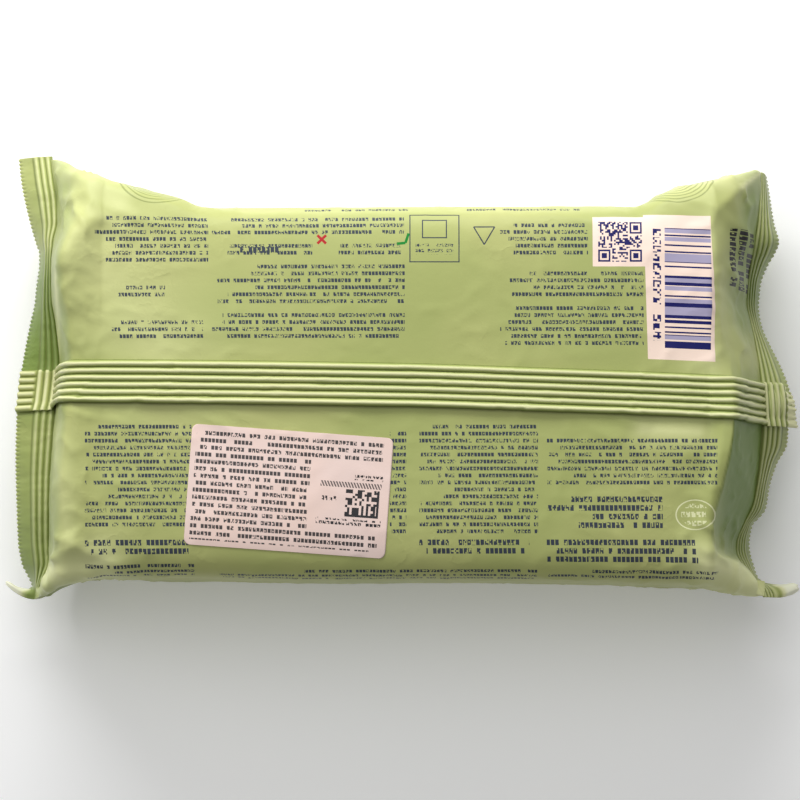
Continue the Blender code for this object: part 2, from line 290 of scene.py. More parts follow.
def beside(x, y, start, finish, width):
    """How far along the line from start to finish each point is, and how near to it, both from 0 to 1."""
    a, b = np.array(start) * MM, np.array(finish) * MM
    along = b - a
    t = np.clip(((x - a[0]) * along[0] + (y - a[1]) * along[1]) / along.dot(along), 0, 1)
    away = np.hypot(x - a[0] - t * along[0], y - a[1] - t * along[1])
    return t, np.exp(-((away / (width * MM)) ** CREASE_SHARPNESS))


def crease_height(x, y):
    total = np.zeros_like(x)
    for start, finish, width, height in BACK_CREASES:
        t, near = beside(x, y, start, finish, width)
        total += height * MM * near * np.sin(np.pi * np.clip(t, 0.08, 0.92))
    return total


def painted_light_share(points):
    """How much painted light the film has on the back, from 0 to 1."""
    x, y, z = points[..., 0], points[..., 1], points[..., 2]
    total = np.zeros_like(x)
    for start, finish, width, amount in PAINTED_LIGHT:
        total = np.maximum(total, amount * beside(x, y, start, finish, width)[1])
    return total * (z > FILM_BOTTOM + PAINTED_LIGHT_ABOVE)


def wrinkle_heights(points):
    """How far each point of the film stands off the smooth form."""
    x, y, z = points[..., 0], points[..., 1], points[..., 2]
    inner_left, inner_right = EDGES[-1][0](y), EDGES[1][0](y)
    from_seal = np.minimum(x - inner_left, inner_right - x)
    near_seal = np.exp(-from_seal / (9 * MM)) * smoothstep(0, 4 * MM, from_seal)
    near_end = np.exp(-from_seal / (22 * MM)) * smoothstep(0, 3 * MM, from_seal)
    upper = smoothstep(30 * MM, 46 * MM, np.abs(y))
    heights = np.zeros_like(x)
    for i, j in np.ndindex(x.shape):
        px, py, pz = x[i, j] / MM, y[i, j] / MM, z[i, j] / MM
        pleat = sharp(ridged(px / 40, py / 8.5, pz / 20), 1.6) - 0.3
        crinkle = sharp(ridged(px / 13, py / 11, pz / 11 + 5), 4.0)
        swell = noise.noise(Vector((px / 42, py / 32, pz / 32 + 9)))
        crinkle *= CRINKLE_HEIGHT + (CRINKLE_AT_EARS * upper[i, j] + CRINKLE_AT_ENDS) * near_end[i, j]
        heights[i, j] = (PLEAT_HEIGHT * near_seal[i, j] * pleat + crinkle + SWELL_HEIGHT * swell) * MM
    back = z > FILM_BOTTOM + THICKNESS * 0.55
    # The front lies flat on its label.
    front = smoothstep(FILM_BOTTOM + 1.5 * MM, FILM_BOTTOM + 9 * MM, z)
    return (heights + np.where(back, crease_height(x, y), 0)) * (0.12 + 0.88 * front)


def mesh_object(name, points, faces, film_uv=None):
    data = bpy.data.meshes.new(name)
    data.from_pydata([tuple(point) for point in points], [], faces)
    data.update()
    if film_uv is not None:
        layer = data.uv_layers.new(name="film")
        corners = np.empty(len(data.loops), np.int32)
        data.loops.foreach_get("vertex_index", corners)
        layer.data.foreach_set("uv", np.asarray(film_uv, np.float32)[corners].reshape(-1))
    data.shade_smooth()
    obj = bpy.data.objects.new(name, data)
    bpy.context.scene.collection.objects.link(obj)
    return obj


def tube_faces(rings, around):
    corners = [(i * around, j, (j + 1) % around) for i in range(rings - 1) for j in range(around)]
    return [(ring + j, ring + after, ring + around + after, ring + around + j) for ring, j, after in corners]


def sheet_faces(rows, columns):
    return [(i * columns + j, i * columns + j + 1, (i + 1) * columns + j + 1, (i + 1) * columns + j)
            for i in range(rows - 1) for j in range(columns - 1)]


def outward(obj):
    mesh = bmesh.new()
    mesh.from_mesh(obj.data)
    bmesh.ops.recalc_face_normals(mesh, faces=mesh.faces)
    mesh.to_mesh(obj.data)
    mesh.free()


# The front and the fin carry no print, so their coordinates lie this far from the printed back, in metres.
FRONT_OFFSET, FIN_OFFSET = 1.0, 3.0


def film_coordinates(points):
    """How far along and across the flat film each point is, in metres from the middle of the back."""
    over = points[:, :RING_POINTS]
    steps = np.linalg.norm(np.diff(over, axis=1), axis=2)
    length = np.concatenate([np.zeros((len(over), 1)), np.cumsum(steps, axis=1)], axis=1)
    across = np.empty(points.shape[:2])
    for i, ring in enumerate(over):
        # The shoulders follow on from the block's last ring, so that print runs on straight.
        known = np.clip(i, SHOULDER_RINGS - 1, len(over) - SHOULDER_RINGS)
        back = slice(None) if known == i else slice(RING_POINTS // 8, -RING_POINTS // 8)
        order = np.argsort(over[known, back, 1])
        places, lengths = over[known, back, 1][order], length[known, back][order]
        home = np.interp(0.0, places, lengths)
        if known == i:
            across[i, :RING_POINTS] = home - length[i]
        else:
            held = np.clip(ring[:, 1], places[0], places[-1])
            across[i, :RING_POINTS] = home - np.interp(held, places, lengths) + (ring[:, 1] - held)
        across[i, RING_POINTS:] = FRONT_OFFSET + points[i, RING_POINTS:, 1]
    return np.stack([points[..., 0], across], axis=-1)


def keep(obj, name, values):
    """Stores one value for each point of the mesh, which a material reads by its name."""
    layer = obj.data.attributes.new(name, "FLOAT", "POINT")
    layer.data.foreach_set("value", np.asarray(values, np.float32).reshape(-1))


def painted_end_shade(points, normals):
    """Painted shade, from 0 to 1: how much darker the film's green is painted on its steep faces where it
    turns down at the ends.
    """
    steep = smoothstep(0.12, 0.62, 1 - normals[..., 2])
    at_end = smoothstep(BLOCK[1] - 4 * MM, BLOCK[1] + 6 * MM, points[..., 0])
    y = points[..., 1]
    lower = smoothstep(4 * MM, -12 * MM, y) * smoothstep(-51 * MM, -46 * MM, y)
    beside_seal = smoothstep(9 * MM, 2 * MM, EDGES[1][0](y) - points[..., 0]) * smoothstep(4 * MM, 16 * MM, y)
    left = smoothstep(BLOCK[-1] - 4 * MM, BLOCK[-1] - 9 * MM, points[..., 0])
    return steep * np.maximum(at_end * np.maximum(lower, 0.8 * beside_seal), 0.5 * left)


def make_film():
    smooth = film_rings()
    normals = grid_normals(smooth)
    points = smooth + normals * wrinkle_heights(smooth)[..., None]
    rings, around = points.shape[:2]
    faces = tube_faces(rings, around)
    film = mesh_object("film_wrapper", points.reshape(-1, 3), faces, film_coordinates(smooth).reshape(-1, 2))
    outward(film)
    keep(film, "painted_shade", painted_end_shade(smooth, normals))
    keep(film, "painted_light", painted_light_share(smooth))
    return film, points


# ---------------------------------------------------------------- seals

def zigzag(value, pitch):
    share = value / pitch % 1
    return 1 - np.abs(2 * share - 1)


CRIMP_START = 0.02
CRIMP_END = {-1: 0.56, 1: 0.76}
CRIMPS = {-1: 3, 1: 4}
CRIMP_HEIGHT = 0.8 * MM
TOOTH_PITCH = 1.05 * MM
TOOTH_DEPTH = 0.5 * MM


def crimps(end, t):
    """How high the crimped ridges stand, from 0 to 1, and where on the seal they are."""
    turns = (t - CRIMP_START) / (CRIMP_END[end] - CRIMP_START) * CRIMPS[end]
    inside = smoothstep(-0.05, 0.03, t) * (1 - smoothstep(CRIMP_END[end], CRIMP_END[end] + 0.05, t))
    return np.abs(np.sin(np.pi * turns)) ** 1.3, inside


# Painted shade on each end seal, how much darker its green is painted: points (y in millimetres, from 0 to
# 1).
SEAL_PAINTED_SHADE = {-1: [(-57.7, 0.5), (-46, 0.45), (-30, 0.2), (-14, 0.1), (-4, 0.9), (6, 1.0), (26, 0.9),
                   (32, 0.5), (34, 0), (57.7, 0)],
              1: [(-57.7, 0), (-49, 0.1), (-44, 0.5), (-30, 0.3), (-18, 0.1), (-8, 0), (14, 0.2), (22, 0.9),
                  (33, 0.5), (38, 0.1), (57.7, 0.2)]}


def seal_painted_shade(end, y):
    """Painted shade on the seal, from 0 to 1: darkest where it dips beside the block and faces away from the
    light.
    """
    places, tones = np.array(SEAL_PAINTED_SHADE[end]).T
    return np.interp(y / MM, places, tones)


# The seals reach as far as the long sides do at these places, and this share of their width inwards, hidden.
SEAL_FRONT_X, SEAL_BACK_X, SEAL_MARGIN = 103 * MM, 99 * MM, 0.3
SEAL_LAYERS = 0.32 * MM
FIN_LAYERS = 0.3 * MM
# How far the fin's cut end slants from one side to the other.
FIN_SLANT = 2.4 * MM


def make_end_seal(name, end):
    """A crimped ribbon of two film layers, with ridges along it and a zigzag-cut outer edge.

    Its "ridge" is from 0 in a groove to 1 on a crest, and above 1 on a pulled-out flap; the material paints
    shade in the grooves and a highlight on the crests from it.
    """
    low, high = front_side(end * SEAL_FRONT_X), back_side(end * SEAL_BACK_X)
    shares = np.linspace(-SEAL_MARGIN, 1, SEAL_ROWS)
    ys = np.linspace(low, high, SEAL_COLUMNS)
    t, y = np.meshgrid(shares, ys, indexing="ij")
    # The hidden inner margin stops short at the ears, where the film is too thin to cover it.
    t = np.where(t < 0, t * (1 - 0.9 * smoothstep(46 * MM, 54 * MM, np.abs(y))), t)
    points = seal_point(end, t, y)
    teeth = TOOTH_DEPTH * zigzag(y, TOOTH_PITCH) * smoothstep(0.86, 1.0, t)
    points[..., 0] += end * (teeth - TOOTH_DEPTH / 2 * smoothstep(0.86, 1.0, t))
    crest, inside = crimps(end, t)
    ridge = CRIMP_HEIGHT * crest * inside
    flutter = np.zeros_like(y)
    for i, j in np.ndindex(y.shape):
        place = Vector((t[i, j] * 0.8, y[i, j] / (5 * MM), end * 3.0))
        flutter[i, j] = noise.noise(place) * 0.5 * MM * t[i, j] + noise.noise(place * 3) * 0.12 * MM
    points[..., 2] += ridge + flutter
    seal = mesh_object(name, points.reshape(-1, 3), sheet_faces(*y.shape),
                       np.stack([points[..., 0], y], axis=-1).reshape(-1, 2))
    # The ridge value is 0 at the seal's inner edge and on its hidden margin, a painted line of shade where
    # the seal meets the body; the cut outer edge takes the pale crest colour.
    plain = 0.58 * (1 - inside) * smoothstep(0.0, 0.3, t)
    edge = smoothstep(0.93, 1.0, t)
    flap = 1.6 * smoothstep(0.5 * MM, 3 * MM, FLAPS[end](y)) * smoothstep(0.66, 0.86, t)
    keep(seal, "ridge", np.maximum(np.maximum(0.86 * crest * inside + plain, edge), flap))
    keep(seal, "painted_shade", seal_painted_shade(end, y))
    thick = seal.modifiers.new("layers", "SOLIDIFY")
    thick.thickness = SEAL_LAYERS
    thick.offset = 0
    return seal


def make_fin(points):
    """The fin seal folded down flat along the back: six ridges, its free edge a little off the film."""
    offsets = np.linspace(0.5, -0.5, FIN_COLUMNS) * FIN_WIDTH
    left_shares = np.linspace(0.97, 0.04, FIN_SEAL_ROWS)
    right_shares = np.linspace(0.04, 1.08, FIN_SEAL_ROWS)
    rows = [seal_point(-1, t, fin_line(-93 * MM) + offsets) for t in left_shares]
    for ring in points[:, :RING_POINTS]:
        order = np.argsort(ring[:, 1])
        middle = np.interp(0.0, ring[order, 1], ring[order, 0])
        y = fin_line(middle) + offsets
        x = np.interp(y, ring[order, 1], ring[order, 0])
        z = np.interp(y, ring[order, 1], ring[order, 2])
        rows.append(np.stack([x, y, z], axis=-1))
    rows += [seal_point(1, t, fin_line(97 * MM) + offsets) for t in right_shares]
    base = np.array(rows)
    along = np.gradient(base, axis=0)
    across = np.gradient(base, axis=1)
    normal = np.cross(across, along)
    normal /= np.linalg.norm(normal, axis=2, keepdims=True)
    normal *= np.sign(normal[..., 2:3].mean())
    share = np.linspace(0, 1, FIN_COLUMNS)
    lengthwise = np.tile(np.abs(np.sin(np.pi * share * FIN_RIDGES)) ** 1.2, (len(base), 1))
    # A share of -1 is off the seal, where nothing is crimped.
    body_shares, other_shares = np.full(len(points), -1.0), np.full(FIN_SEAL_ROWS, -1.0)
    left_crimps = crimps(-1, np.concatenate([left_shares, body_shares, other_shares]))
    right_crimps = crimps(1, np.concatenate([other_shares, body_shares, right_shares]))
    crimped = np.maximum(left_crimps[0] * left_crimps[1], right_crimps[0] * right_crimps[1])
    inside = np.maximum(left_crimps[1], right_crimps[1])
    # The fin's right end is pressed nearly flat, and its pale edge is cut like the end seal's.
    pressed = np.zeros(len(base))
    pressed[-FIN_SEAL_ROWS:] = smoothstep(CRIMP_END[1], CRIMP_END[1] + 0.08, right_shares)
    crest = lengthwise * ((1 - inside) * (1 - 0.7 * pressed))[:, None] + crimped[:, None]
    right_rows = base[-FIN_SEAL_ROWS:]
    right_rows[..., 0] += FIN_SLANT * (share - 0.5) * smoothstep(0.7, 1.08, right_shares)[:, None]
    teeth = TOOTH_DEPTH * (zigzag(right_rows[..., 1], TOOTH_PITCH) - 0.5)
    right_rows[..., 0] += teeth * smoothstep(0.9, 1.08, right_shares)[:, None]
    ridges = FIN_RIDGE_HEIGHT * crest
    lift = 0.30 * MM + 0.55 * MM * smoothstep(0.75, 1, share) - 0.35 * MM * (1 - smoothstep(0, 0.06, share))
    wobble = np.zeros(base.shape[:2])
    for i, j in np.ndindex(wobble.shape):
        x, y = base[i, j, 0] / MM, share[j]
        wobble[i, j] = (noise.noise(Vector((x / 14, y, 2.0))) * 0.35 * share[j]
                        + noise.noise(Vector((x / 5, y * 2, 7.0))) * 0.08) * MM
    fin_points = base + normal * (ridges + lift + wobble)[..., None]
    count = len(fin_points)
    uv = np.stack([base[..., 0], base[..., 1] + FIN_OFFSET], axis=-1).reshape(-1, 2)
    fin = mesh_object("fin_seal", fin_points.reshape(-1, 3), sheet_faces(count, FIN_COLUMNS), uv)
    # The fin's grooves and crests take the same painted shade and painted highlight as the seals, and its
    # pressed end the pale crest colour.
    keep(fin, "ridge", np.maximum(crest, 1.1 * pressed[:, None]))
    thick = fin.modifiers.new("layers", "SOLIDIFY")
    thick.thickness = FIN_LAYERS
    thick.offset = 0
    return fin


# ---------------------------------------------------------------- stuck-on labels

def rounded_grid(length, width, corner, rows, columns):
    """Points of a flat rounded rectangle, row by row across its width, and each row's half length."""
    fractions = np.sin(np.linspace(-np.pi / 2, np.pi / 2, rows))
    over = fractions * width / 2
    past = np.maximum(np.abs(over) - (width / 2 - corner), 0)
    half = length / 2 - corner + np.sqrt(np.maximum(corner**2 - past**2, 0))
    return np.array([[(s * h, v) for s in np.linspace(-1, 1, columns)] for v, h in zip(over, half)])


def laid_sheet(name, flat, height_at, thickness):
    """A sheet whose flat points are (u, v), laid where height_at says: (u, v) to a place in space."""
    rows, columns = flat.shape[:2]
    points = [height_at(u, v) for u, v in flat.reshape(-1, 2)]
    sheet = mesh_object(name, points, sheet_faces(rows, columns), flat.reshape(-1, 2))
    thick = sheet.modifiers.new("thickness", "SOLIDIFY")
    thick.thickness = thickness
    thick.offset = 0
    return sheet


STICKER_SIZE = (51.9 * MM, 30.8 * MM)
STICKER_CENTRE = (-28.4 * MM, -30.2 * MM)
STICKER_TURN = np.radians(-4.2)
STICKER_CORNER = 1.6 * MM
STICKER_THICKNESS = 0.1 * MM
STICKER_LIFT = 0.16 * MM
RAY_START = 200 * MM


def make_sticker(film):
    tree = BVHTree.FromObject(film, bpy.context.evaluated_depsgraph_get())
    cos, sin = np.cos(STICKER_TURN), np.sin(STICKER_TURN)

    def place(u, v):
        x = STICKER_CENTRE[0] + u * cos - v * sin
        y = STICKER_CENTRE[1] + u * sin + v * cos
        hit = tree.ray_cast(Vector((x, y, RAY_START)), Vector((0, 0, -1)))[0]
        return x, y, hit.z + STICKER_LIFT

    flat = rounded_grid(*STICKER_SIZE, STICKER_CORNER, 60, 100)
    sticker = laid_sheet("paper_label", flat, place, STICKER_THICKNESS)
    sticker.modifiers.new("soften", "SMOOTH").iterations = 6
    sticker.modifiers.move(1, 0)
    return sticker


LABEL_SIZE = (118 * MM, 62 * MM)
LABEL_CORNER = 12 * MM
LABEL_TAB = (12 * MM, 26 * MM)
LABEL_THICKNESS = 0.16 * MM
LABEL_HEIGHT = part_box("reseal_label")[1][2] / 2
TAB_GAP = 0.02 * MM


def make_reseal_label():
    """The label on the front, with its rounded pull tab, lying under the pack."""
    body = rounded_grid(*LABEL_SIZE, LABEL_CORNER, 40, 60)
    tab = rounded_grid(LABEL_TAB[0] * 2, LABEL_TAB[1], LABEL_TAB[0] * 0.75, 24, 24)
    tab[..., 0] = np.maximum(tab[..., 0], 0) + LABEL_SIZE[0] / 2
    tab = tab[:, tab.shape[1] // 2:]
    label = laid_sheet("reseal_film", body, lambda u, v: (u, v, LABEL_HEIGHT), LABEL_THICKNESS)
    pull = laid_sheet("reseal_tab", tab, lambda u, v: (u + TAB_GAP, v, LABEL_HEIGHT), LABEL_THICKNESS)
    return label, pull


# ---------------------------------------------------------------- node maths

class Field:
    """A value that varies over a surface, built from shader nodes with ordinary arithmetic."""

    def __init__(self, tree, socket):
        self.tree, self.socket = tree, socket

    def node(self, operation, *inputs):
        made = self.tree.nodes.new("ShaderNodeMath")
        made.operation = operation
        for slot, value in zip(made.inputs, (self, *inputs)):
            if isinstance(value, Field):
                self.tree.links.new(value.socket, slot)
            else:
                slot.default_value = value
        return Field(self.tree, made.outputs[0])

    def __add__(self, other):
        return self.node("ADD", other)

    def __sub__(self, other):
        return self.node("SUBTRACT", other)

    def __mul__(self, other):
        return self.node("MULTIPLY", other)

    def __truediv__(self, other):
        return self.node("DIVIDE", other)

    def __gt__(self, other):
        return self.node("GREATER_THAN", other)

    def __lt__(self, other):
        return self.node("LESS_THAN", other)

    def __or__(self, other):
        return self.node("MAXIMUM", other)

    def floor(self):
        return self.node("FLOOR")

    def share(self):
        return self.node("FRACT")

    def size(self):
        return self.node("ABSOLUTE")

    def between(self, low, high):
        return (self > low) * (self < high)

    def flipped(self):
        return self.node("MULTIPLY_ADD", -1.0, 1.0)


def vector_of(tree, one, two, three):
    made = tree.nodes.new("ShaderNodeCombineXYZ")
    for slot, value in zip(made.inputs, (one, two, three)):
        if isinstance(value, Field):
            tree.links.new(value.socket, slot)
        else:
            slot.default_value = value
    return made.outputs[0]


def chance(tree, one, two, seed=0.0):
    """An even random number for each pair of whole numbers."""
    made = tree.nodes.new("ShaderNodeTexWhiteNoise")
    tree.links.new(vector_of(tree, one, two, seed), made.inputs["Vector"])
    return Field(tree, made.outputs["Value"])


def film_place(tree):
    """Millimetres along and across the flat film, from its UV map."""
    uv = tree.nodes.new("ShaderNodeUVMap")
    uv.uv_map = "film"
    split = tree.nodes.new("ShaderNodeSeparateXYZ")
    tree.links.new(uv.outputs[0], split.inputs[0])
    return Field(tree, split.outputs[0]) * 1000.0, Field(tree, split.outputs[1]) * 1000.0


def box(u, v, left, right, low, high):
    return u.between(left, right) * v.between(low, high)


def union(fields):
    total = fields[0]
    for field in fields[1:]:
        total = total | field
    return total


def greeked(tree, u, v, pitch, letter, height=0.62, density=0.6, seed=0.0):
    """Rows of small marks that read as lines of print from afar and spell nothing."""
    row = (v / pitch).floor()
    weight = chance(tree, (u / (letter * 11) + row * 0.37).floor(), row, seed + 3) * 0.34 - 0.26
    inside_row = (v / pitch).share() < height
    shifted = u + chance(tree, row, 0.0, seed) * 7.0 + (v / pitch).share() * 0.1
    cell = (shifted / letter).floor()
    word_gap = chance(tree, cell, row, seed + 1) > 0.14
    letter_gap = (shifted / letter).share() < 0.8
    stroke = chance(tree, (shifted / (letter * 0.27)).floor(), (v / (pitch * 0.21)).floor(), seed + 2)
    return inside_row * word_gap * letter_gap * (stroke < weight + density)


def mix(tree, share, below, above):
    """Colour above where share is 1, over below; each is a colour or a socket."""
    made = tree.nodes.new("ShaderNodeMix")
    made.data_type = "RGBA"
    tree.links.new(share.socket, made.inputs["Factor"])
    for slot, value in ((made.inputs["A"], below), (made.inputs["B"], above)):
        if isinstance(value, tuple):
            slot.default_value = (*value, 1)
        else:
            tree.links.new(value, slot)
    return made.outputs["Result"]


def colour(red, green, blue):
    """A linear colour from screen values of 0 to 255."""
    shares = np.array([red, green, blue]) / 255
    linear = np.where(shares <= 0.04045, shares / 12.92, ((shares + 0.055) / 1.055) ** 2.4)
    return tuple(float(value) for value in linear)


FILM_GREEN = colour(184, 186, 121)
FILM_DEEP = colour(169, 177, 109)
GROOVE_SHADE_AND_PRINT_GREEN = colour(112, 122, 62)
PAINTED_CREST_HIGHLIGHT = colour(222, 222, 172)
INK = colour(38, 48, 76)
LAVENDER = colour(172, 165, 192)
INK_BLUE = colour(30, 32, 96)
PANEL = colour(250, 226, 210)
PAPER = colour(232, 212, 207)
BLACK = colour(28, 26, 30)
LINE_PALE = colour(226, 228, 180)
FLAP_PALE = colour(238, 238, 214)
SEAL_GREEN = colour(160, 174, 102)
PAINTED_SHADE_GREEN = colour(102, 130, 56)
FILM_PAINTED_LIGHT = colour(228, 230, 172)
TICK_GREEN, CROSS_RED = colour(30, 130, 50), colour(176, 40, 44)
PAPER_WARM = colour(246, 214, 198)
RESEAL_PALE, RESEAL_GREEN, RESEAL_INNER = colour(226, 232, 204), colour(216, 224, 190), colour(236, 240, 222)
DIE_CUT = colour(120, 150, 96)


def noise_field(tree, scale, detail=2.0):
    place = tree.nodes.new("ShaderNodeTexCoord")
    made = tree.nodes.new("ShaderNodeTexNoise")
    made.inputs["Scale"].default_value = scale
    made.inputs["Detail"].default_value = detail
    tree.links.new(place.outputs["Object"], made.inputs["Vector"])
    return Field(tree, made.outputs["Fac"])


def bump(tree, height, distance, strength, below=None):
    made = tree.nodes.new("ShaderNodeBump")
    made.inputs["Distance"].default_value = distance
    made.inputs["Strength"].default_value = strength
    tree.links.new(height.socket, made.inputs["Height"])
    if below is not None:
        tree.links.new(below, made.inputs["Normal"])
    return made.outputs["Normal"]


def new_material(name):
    made = bpy.data.materials.new(name)
    made.use_nodes = True
    return made, made.node_tree, made.node_tree.nodes["Principled BSDF"]


def film_base(tree, shader, roughness):
    """The film's own green, mottled, with fine crinkle and grain in its bump and gloss."""
    broad, grain = noise_field(tree, 28.0), noise_field(tree, 900.0, 3.0)
    ground = mix(tree, (broad - 0.35) * 2.2, FILM_DEEP, FILM_GREEN)
    crinkle = noise_field(tree, 210.0, 4.0)
    fold = (noise_field(tree, 62.0, 5.0) * 2.0 - 1.0).size().flipped().node("POWER", 14.0)
    folds = fold * ((broad - 0.42) * 3.0).node("MAXIMUM", 0.0)
    normal = bump(tree, folds, 0.0004, 0.35, bump(tree, crinkle, 0.0002, 0.45))
    normal = bump(tree, grain, 0.00003, 0.5, normal)
    tree.links.new(normal, shader.inputs["Normal"])
    gloss = broad * 0.10 + grain * 0.06 + roughness
    tree.links.new(gloss.socket, shader.inputs["Roughness"])
    shader.inputs["IOR"].default_value = 1.3
    shader.inputs["Specular IOR Level"].default_value = 0.35
    return ground


# Columns of small print on the back, in millimetres along and across the film: left, right, low, high.
SMALL_PRINT = [
    (-78.0, -49.0, 29.2, 41.6), (-73.6, -50.2, 8.6, 13.9), (-73.0, -60.0, 19.2, 23.8),
    (-48.1, 1.0, 34.9, 41.6), (-48.1, -22.4, 30.6, 34.0), (-18.6, 0.2, 30.6, 34.0), (-48.1, 1.2, 17.4, 29.2),
    (-48.1, 1.2, 8.7, 15.9), (25.5, 48.0, 30.8, 40.0), (25.5, 62.2, 19.2, 26.6), (25.5, 62.2, 7.0, 17.4),
    (-80.4, -51.7, -39.9, -12.2), (-80.4, -52.4, -53.6, -47.3), (4.9, 35.2, -40.4, -12.2),
    (37.4, 81.0, -29.2, -15.6), (-2.6, 1.6, -41.0, -14.0), (-47.0, 35.0, -54.6, -50.2),
    (37.4, 80.0, -54.2, -50.6), (-30.0, 2.0, 42.7, 44.5), (12.0, 46.0, 42.7, 44.5),
]
# Headings are a little larger and bolder.
BOLD_PRINT = [
    (-80.4, -53.9, -45.6, -40.8), (4.9, 33.0, -46.6, -42.4), (37.4, 67.0, -40.6, -31.4),
    (37.4, 76.0, -47.4, -42.6), (-46.0, -30.0, 30.8, 33.4), (25.5, 34.0, 16.6, 18.4),
]
SMALL_PITCH, BOLD_PITCH = 1.78, 2.2
# Boxes as left, right, low, high in millimetres.
CODE_SQUARE = (50.6, 61.8, 28.4, 38.8)
CODE_PANEL = (49.2, 63.6, 27.2, 40.2)
CODE_MODULES = 25
FINDER_HALF = 3.5
BAR_PANEL = (63.4, 80.6, 3.2, 40.4)
BARS = (67.6, 79.4, 6.2, 37.2)
DIGITS = (64.6, 66.8, 8.0, 37.0)
# The barred panel leans by BAR_LEAN along u and by PANEL_LEAN along v, and lies BAR_DROP off the code's rows.
BAR_LEAN, BAR_DROP, PANEL_LEAN = 0.04, 2.9, 0.03
PLAIN_BOX = (2.4, 15.2, 28.2, 41.0)
INNER_FRAME = (5.6, 12.0, 34.4, 39.4)
BOX_MARKS = (4.0, 13.6, 30.2, 33.0)
TRIANGLE_LEFT, TRIANGLE_RIGHT, TRIANGLE_LOW, TRIANGLE_HIGH = 18.8, 24.2, 32.8, 37.4
TICK_AT, CROSS_AT, MARK_LINE = (1.4, 33.2), (-20.0, 34.2), 0.34
TICK_STROKES = ((-2.2, -0.2), (0.8, 2.5))
CROSS_HALF = 1.1
STAMP = (84.4, 91.4, 22.0, 37.4)
BADGE_CENTRE, BADGE_HALF = (75.2, -36.2), (5.0, 3.9)
RING_CENTRES = ((-63.0, 51.5), (71.0, 51.5))


def outline(u, v, left, right, low, high, line):
    outer = box(u, v, left, right, low, high)
    inner = box(u, v, left + line, right - line, low + line, high - line)
    return outer - inner


def segment(u, v, start, finish, half_width):
    """Ink within half_width of a straight stroke."""
    a, b = np.array(start, float), np.array(finish, float)
    length = float(np.hypot(*(b - a)))
    ax, ay = (float(value) for value in (b - a) / length)
    forward = (u - float(a[0])) * ax + (v - float(a[1])) * ay
    aside = (u - float(a[0])) * -ay + (v - float(a[1])) * ax
    return forward.between(0.0, length) * (aside.size() < half_width)


def triangle(u, v):
    peak = ((TRIANGLE_LEFT + TRIANGLE_RIGHT) / 2, TRIANGLE_LOW)
    left, right = (TRIANGLE_LEFT, TRIANGLE_HIGH), (TRIANGLE_RIGHT, TRIANGLE_HIGH)
    return union([segment(u, v, *ends, 0.16) for ends in ((peak, left), (left, right), (right, peak))])


def oval(u, v, centre, halves):
    """The squared distance from centre, as a share of halves: 1 on the oval's line."""
    across, up = (u - centre[0]) / halves[0], (v - centre[1]) / halves[1]
    return across.node("POWER", 2.0) + up.node("POWER", 2.0)


def bars(tree, v):
    """Bars of uneven width with uneven gaps: a run of thin slots, each inked by chance."""
    return chance(tree, (v / 0.42).floor(), 3.0, 11.0) < 0.52


def thin_bars(tree, v):
    """Where bars too thin to tell apart run together into a paler band."""
    return chance(tree, (v / 1.05).floor(), 5.0, 19.0) < 0.32


def modules(tree, u, v, size, seed):
    return chance(tree, (u / size).floor(), (v / size).floor(), seed) < 0.5


def square_round(x, y, half):
    return x - half, x + half, y - half, y + half


def finder(u, v, x, y, size):
    """A square ring with a solid middle, at a corner of the code-like square."""
    ring = outline(u, v, *square_round(x, y, size * FINDER_HALF), size)
    return ring | box(u, v, *square_round(x, y, size * (FINDER_HALF - 2)))


def code_marks(tree, u, v):
    """A square of chance modules with three finders, which holds no data."""
    left, right, low, high = CODE_SQUARE
    size = (right - left) / CODE_MODULES
    inset = FINDER_HALF * size
    corners = [(left + inset, low + inset), (right - inset, low + inset), (right - inset, high - inset)]
    clear = union([box(u, v, *square_round(*at, (FINDER_HALF + 1) * size)) for at in corners])
    finders = union([finder(u, v, *at, size) for at in corners])
    return box(u, v, *CODE_SQUARE) * ((modules(tree, u, v, size, 4.0) * clear.flipped()) | finders)


def tick_mark(u, v):
    x, y = TICK_AT
    short, long = ((x + dx, y + dy) for dx, dy in TICK_STROKES)
    return segment(u, v, short, (x, y), MARK_LINE) | segment(u, v, (x, y), long, MARK_LINE)


def cross_mark(u, v):
    left, right, low, high = square_round(*CROSS_AT, CROSS_HALF)
    rising = segment(u, v, (left, low), (right, high), MARK_LINE)
    return rising | segment(u, v, (left, high), (right, low), MARK_LINE)


def side_pattern(u, v):
    """Rings of thin lines, a plain ornament round both ends of the long side's panel."""
    distances = [oval(u, v, centre, (1.0, 0.8)).node("SQRT") for centre in RING_CENTRES]
    return union([away.between(1.5, 10.0) * ((away / 1.3).share() < 0.36) for away in distances])


def columns(tree, u, v, places, pitch, most_short):
    """Where columns of print are. A line may stop early, by up to a share most_short of its column."""
    short = chance(tree, (v / pitch).floor(), 0.0, 3.0)
    short = short * short * most_short
    found = []
    for left, right, low, high in places:
        low, high = (round(value / pitch) * pitch for value in (low, high))
        found.append((u - short * (right - left) > left) * (u < right) * v.between(low, high))
    return union(found)


